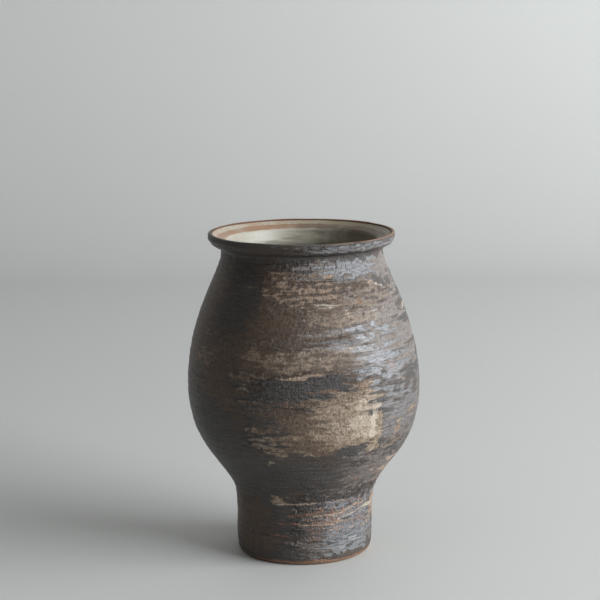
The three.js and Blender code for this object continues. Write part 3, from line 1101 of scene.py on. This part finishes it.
@functools.lru_cache(maxsize=None)
def slipped_clay():
    """Brushed graphite slip over coarse clay. The stored marks choose between slip, wash and clay, and some
    paint light:
    a pale grey on the lit right side, a light burnished grey where the highlight falls and thick dark slip as
    painted shade on the left; noise on object coordinates gives each its own mottle, and the roughness and
    bump follow the same noise."""
    colours = bpy.context.scene.vase_colours
    material = bpy.data.materials.new("slipped_clay")
    n = Nodes(material)
    brushed = n.noise(55, 6, 0.62, (1, 1, 11), 0.25)
    hairline = n.noise(150, 5, 0.62, (1, 1, 6), 0.2)
    mottled = n.noise(34, 4, 0.6, (1, 1, 2.2))
    coarse = n.noise(260, 5, 0.65, (1, 1, 1.7))
    grain = n.noise(620, 4, 0.65)
    specks = n.noise(1100, 2, 0.5)
    breakup = n.plus(n.times(coarse, 0.5), n.times(specks, 0.5))
    slip = n.mix(n.remap(n.plus(brushed, hairline), 0.8, 1.2), colours.slip_dark, colours.slip_grey)
    # Light specks on the slip: grog, and partly painted glints.
    slip = n.mix(n.remap(specks, 0.58, 0.70, 0.0, 0.4), slip, colours.painted_light_grey)
    warm = n.mix(n.remap(mottled, 0.40, 0.62, 0.0, 0.6), slip, colours.wash)
    # The painted highlight: the burnished slip's light grey, mottled, laid over the slip where those marks
    # cover.
    dull = n.mix(0.5, slip, colours.graphite)
    painted_highlight = n.mix(n.remap(n.plus(hairline, coarse), 0.76, 1.16), dull, colours.graphite)
    wash = n.mix(n.remap(breakup, 0.42, 0.60), colours.wash, colours.umber)
    clay = n.mix(n.remap(n.plus(coarse, grain), 0.80, 1.16), colours.umber, colours.buff)
    clay = n.mix(n.remap(specks, 0.56, 0.72, 0.0, 0.45), clay, colours.cream)
    clay = n.mix(n.remap(specks, 0.28, 0.42, 0.6, 0.0), clay, colours.wash)
    light = n.mix(n.remap(breakup, 0.40, 0.60), colours.buff, colours.cream)
    burnish_and_painted_sheen = n.cover("burnish_and_painted_sheen", hairline, softness=0.5)
    # Painted light on the lit right side, mottled with umber.
    painted_light_mottle = n.mix(n.remap(breakup, 0.40, 0.60), colours.umber, colours.painted_light_grey)
    base = n.mix(n.cover("wash", brushed, most=0.85), warm, wash)
    base = n.mix(n.cover("painted_light_grey", n.times(n.plus(hairline, specks), 0.5)), base, painted_light_mottle)
    base = n.mix(burnish_and_painted_sheen, base, painted_highlight)
    for kind, most, second in (
        ("buff", 1.0, clay),
        ("pale", 0.75, light),
        ("umber", 0.8, wash),
        ("slip", 1.0, slip),
        ("iron", 0.8, colours.iron),
        ("sand", 0.9, colours.sand),
        ("cream", 0.85, colours.cream),
    ):
        base = n.mix(n.cover(kind, breakup, most=most), base, second)
    base = n.mix(n.times(n.attribute("worn"), 0.8), base, colours.iron)
    bare = n.mix(n.remap(grain, 0.3, 0.7), colours.bare, colours.umber)
    base = n.mix(n.attribute("bare"), base, bare)
    base = n.mix(n.times(n.attribute("pit"), 0.85), base, colours.slip_dark)
    pale = n.maths("MAXIMUM", n.attribute("cream"), n.attribute("bare"))
    pale = n.maths("MAXIMUM", n.attribute("buff"), pale)
    satin = n.remap(n.plus(hairline, n.times(grain, 0.6)), 0.60, 1.0, 0.30, 0.46)
    satin = n.maths("SUBTRACT", satin, n.times(burnish_and_painted_sheen, 0.06))
    rough = n.plus(satin, n.remap(pale, 0.2, 0.9, 0.0, 0.25))
    rougher = n.plus(n.times(n.attribute("crumbs"), 0.8), 0.6)
    rougher = n.times(rougher, n.remap(burnish_and_painted_sheen, 0.2, 0.9, 1.0, 0.6))
    lines = n.plus(brushed, n.times(hairline, 0.6))
    lines = n.bump(n.times(lines, n.remap(pale, 0.2, 0.8, 1.0, 0.35)), 0.6 * MM)
    lumpy = n.bump(n.times(coarse, rougher), 1.0 * MM, lines)
    sandy = n.bump(n.times(grain, rougher), 1.5 * MM, lumpy)
    n.finish(base, rough, Metallic=n.times(burnish_and_painted_sheen, 0.4), Normal=sandy, IOR=1.6)
    return material


@functools.lru_cache(maxsize=None)
def lining_glaze():
    """Glossy glaze with streaks that run round: cream on the left of the inside and olive on the right, by
    the object's x coordinate, as painted light and shade, breaking brown on the ledge and near its upper
    edge."""
    colours = bpy.context.scene.vase_colours
    material = bpy.data.materials.new("lining_glaze")
    n = Nodes(material)
    streak = n.noise(26, 6, 0.62, (1, 1, 10), 0.2)
    cloud = n.noise(40, 5, 0.65)
    fine = n.noise(420, 5, 0.7, (1, 1, 2))
    speck = n.noise(900, 3, 0.6)
    # Painted light and shade across the inside: from cream on the lit left to olive, tan and darker brown on
    # the shaded right, by the object's x coordinate.
    lit_to_shaded = n.plus(n.sideways(), n.times(n.maths("SUBTRACT", cloud, 0.5), 0.09))
    side = n.remap(lit_to_shaded, -0.03, 0.03)
    olive = n.remap(lit_to_shaded, 0.0, 0.045, 0.0, 0.85)
    throat = n.mix(n.remap(streak, 0.46, 0.72, 0.0, 0.6), colours.glaze_cream, colours.glaze_green)
    seat = n.mix(n.remap(n.plus(cloud, fine), 0.92, 1.10), colours.glaze_cream, colours.sand)
    far_seat = n.mix(n.times(fine, 0.5), colours.glaze_tan, colours.glaze_green)
    seat = n.mix(side, seat, far_seat)
    body = n.mix(n.attribute("seat"), n.mix(olive, throat, colours.glaze_green), seat)
    thin = n.plus(n.attribute("thin"), n.times(n.maths("SUBTRACT", cloud, 0.5), 1.6))
    thin = n.plus(thin, n.times(n.maths("SUBTRACT", streak, 0.5), 0.9))
    brown = n.mix(side, colours.glaze_break, colours.umber)
    base = n.mix(n.remap(thin, 0.35, 0.95, 0.0, 0.85), body, brown)
    base = n.mix(n.remap(speck, 0.62, 0.72, 0.0, 0.6), base, colours.umber)
    ripples = n.bump(n.plus(streak, n.times(fine, 0.5)), 0.35 * MM)
    n.finish(base, n.remap(streak, 0.3, 0.7, 0.3, 0.5), Normal=ripples, IOR=1.5)
    return material


# ---- Stage ----


def pale_paper(stage):
    """Matt pale surface for the floor and the backdrop, with a faint cloudiness."""
    material = bpy.data.materials.new("pale_paper")
    n = Nodes(material)
    cloud = n.noise(1.5, 2, 0.5)
    darker = tuple(0.96 * c for c in stage.floor_colour)
    n.finish(n.mix(cloud, darker, tuple(stage.floor_colour)), 0.6)
    return material


CAMERA_LENS = 108.0
CAMERA_PLACE = (-1.98 * MM, -1418.4 * MM, 459 * MM)
CAMERA_PITCH = 10.18 * DEGREE  # downwards
CAMERA_ROLL = 0.55 * DEGREE
ROOM = 4.0  # how far the sweep runs forwards, upwards and to each side
BACKDROP = 1.8
BEND = 0.5  # radius between floor and backdrop
ROOM_TINT = (1.0, 0.975, 0.95, 1.0)
LIGHT_TINT = (0.93, 0.97, 1.0)
LIT_PLACE = (0.0, 0.0, 0.15)


def sweep_mesh():
    """Floor and backdrop in one sheet, the same from side to side: level, a quarter circle, upright."""
    bend = arc((BACKDROP - BEND, BEND), BEND, -90, 0, 17)
    line = np.concatenate([[(-ROOM, 0.0)], bend, [(BACKDROP, ROOM)]])
    wide = np.array([-ROOM, ROOM])
    grid = np.broadcast_arrays(wide[None, :], line[:, None, 0], line[:, None, 1])
    places = np.stack(grid, axis=-1).reshape(-1, 3)
    i = np.arange(len(line) - 1)
    quads = np.stack([2 * i, 2 * i + 1, 2 * i + 3, 2 * i + 2], axis=-1)
    mesh = bpy.data.meshes.new("sweep")
    mesh.from_pydata(places.tolist(), [], quads.tolist())
    mesh.polygons.foreach_set("use_smooth", np.ones(len(quads), dtype=bool))
    return mesh


def area_light(name, place, width, height, power):
    """A soft rectangular light at `place` that faces the vase."""
    light = bpy.data.lights.new(name, "AREA")
    light.shape = "RECTANGLE"
    light.size, light.size_y = width, height
    light.energy = power
    light.color = LIGHT_TINT
    holder = bpy.data.objects.new(name, light)
    holder.location = place
    holder.rotation_mode = "QUATERNION"
    holder.rotation_quaternion = (Vector(LIT_PLACE) - Vector(place)).to_track_quat("-Z", "Y")
    holder.visible_camera = False
    bpy.context.scene.collection.objects.link(holder)


def around(azimuth, distance, height):
    """A place at an azimuth from the camera's side, rightwards, in degrees."""
    return (distance * math.sin(azimuth * DEGREE), -distance * math.cos(azimuth * DEGREE), height)


class VASE_OT_stage(bpy.types.Operator):
    """Make the camera, the pale floor and backdrop, and the soft light from the right"""

    bl_idname = "vase.stage"
    bl_label = "Stage"

    def execute(self, context):
        scene = context.scene
        stage = scene.vase_stage
        camera = bpy.data.objects.new("camera", bpy.data.cameras.new("camera"))
        camera.data.sensor_width = 36.0
        camera.data.lens = CAMERA_LENS
        camera.data.clip_start = 0.05
        camera.data.clip_end = 50.0
        back = Vector((0.0, -math.cos(CAMERA_PITCH), math.sin(CAMERA_PITCH)))
        up = Vector((0.0, math.sin(CAMERA_PITCH), math.cos(CAMERA_PITCH)))
        right = Vector((1.0, 0.0, 0.0))
        side = right * math.cos(CAMERA_ROLL) - up * math.sin(CAMERA_ROLL)
        head = right * math.sin(CAMERA_ROLL) + up * math.cos(CAMERA_ROLL)
        turn = Matrix((side, head, back)).transposed().to_4x4()
        camera.matrix_world = Matrix.Translation(CAMERA_PLACE) @ turn
        scene.collection.objects.link(camera)
        scene.camera = camera
        sweep = bpy.data.objects.new("sweep", sweep_mesh())
        sweep.data.materials.append(pale_paper(stage))
        scene.collection.objects.link(sweep)
        area_light("window", around(69, 2.5, 0.95), 2.3, 1.9, stage.window)
        area_light("side_fill", around(122, 1.9, 0.8), 1.4, 1.4, stage.side_fill)
        area_light("ceiling", (-0.4, -0.2, 2.4), 2.4, 2.4, stage.ceiling)
        world = bpy.data.worlds.new("room")
        world.use_nodes = True
        background = world.node_tree.nodes["Background"]
        background.inputs["Color"].default_value = ROOM_TINT
        background.inputs["Strength"].default_value = stage.ambient
        scene.world = world
        scene.view_settings.view_transform = "Standard"
        return {"FINISHED"}


# ---- Panel and registration ----

OPERATORS = (VASE_OT_stage, VASE_OT_base_dish, VASE_OT_wall_rings, VASE_OT_rim_lip, VASE_OT_glaze_lining)
GROUPS = {
    "vase_sizes": VaseSizes,
    "vase_surface": VaseSurface,
    "vase_colours": VaseColours,
    "vase_stage": VaseStage,
}


class VASE_PT_panel(bpy.types.Panel):
    """Sizes, surface, colours and the pieces to make"""

    bl_idname = "VASE_PT_panel"
    bl_label = "Stoneware Vase"
    bl_space_type = "VIEW_3D"
    bl_region_type = "UI"
    bl_category = "Vase"

    def draw(self, context):
        for key, group in GROUPS.items():
            box = self.layout.box()
            box.label(text=group.__doc__)
            for prop in group.__annotations__:
                box.prop(getattr(context.scene, key), prop)
        for operator in OPERATORS:
            self.layout.operator(operator.bl_idname)


CLASSES = (*GROUPS.values(), *OPERATORS, VASE_PT_panel)


def register():
    for cls in CLASSES:
        bpy.utils.register_class(cls)
    for key, group in GROUPS.items():
        setattr(bpy.types.Scene, key, bpy.props.PointerProperty(type=group))


def unregister():
    for key in GROUPS:
        delattr(bpy.types.Scene, key)
    for cls in reversed(CLASSES):
        bpy.utils.unregister_class(cls)


def main():
    register()
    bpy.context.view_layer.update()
    bpy.ops.vase.stage()
    bpy.ops.vase.base_dish()
    bpy.ops.vase.wall_rings()
    bpy.ops.vase.rim_lip()
    bpy.ops.vase.glaze_lining()


if __name__ == "__main__":
    main()
